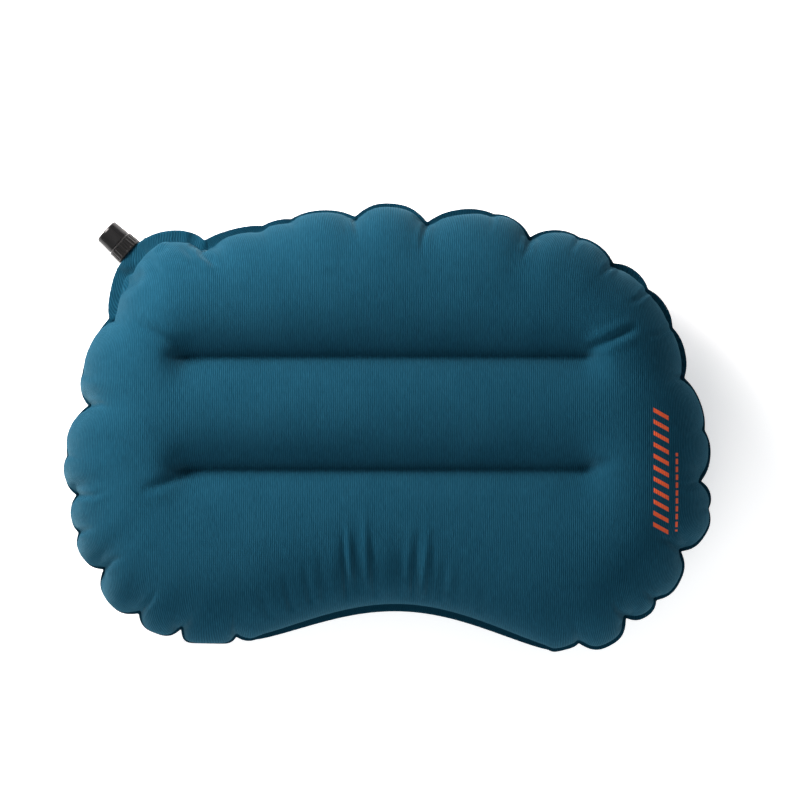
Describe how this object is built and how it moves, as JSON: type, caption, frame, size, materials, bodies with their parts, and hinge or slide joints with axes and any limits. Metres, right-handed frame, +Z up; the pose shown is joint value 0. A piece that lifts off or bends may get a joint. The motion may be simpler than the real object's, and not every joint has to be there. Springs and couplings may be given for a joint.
{
  "type": "inflatable camp pillow",
  "caption": "Inflatable camp pillow: two welded knit-faced sheets with puckered edge, neck recess, two inner baffles and a corner twist valve.",
  "frame": {"origin": "middle of the outline, on the plane that the pillow lies on", "axes": "+X to the right along the long side, +Y away from the neck recess towards the valve's long edge, +Z up through the thickness"},
  "size_m": [0.4094, 0.2834, 0.1],
  "materials": {
    "face_fabric": "satin rib knit laminated to film",
    "back_fabric": "satin knit laminated to film",
    "film": "translucent film",
    "soft_black": "satin moulded",
    "hard_black": "satin",
    "ring_rubber": "matte"
  },
  "bodies": {
    "pillow": {"top_panel": "face_fabric", "bottom_panel": "back_fabric", "upper_baffle": "film", "lower_baffle": "film", "valve_base": "soft_black", "valve_body": "hard_black", "plug_o_ring": "ring_rubber"},
    "cap_seal": {"cap_o_ring": "ring_rubber"},
    "cap": {"valve_cap": "hard_black"}
  },
  "joints": [
    {"name": "cap_lift", "type": "slide", "parent": "pillow", "child": "cap_seal", "axis": [-0.7422, 0.6702, 0], "range_m": [0, 0.004]},
    {"name": "cap_twist", "type": "hinge", "parent": "cap_seal", "child": "cap", "pos_m": [-0.16272, 0.10997, 0.049], "axis": [-0.7422, 0.6702, 0], "range_deg": [0, 360]}
  ],
  "couplings": [
    {"joint": "cap_twist", "follows": "cap_lift", "rad_per_m": 1570.8}
  ]
}
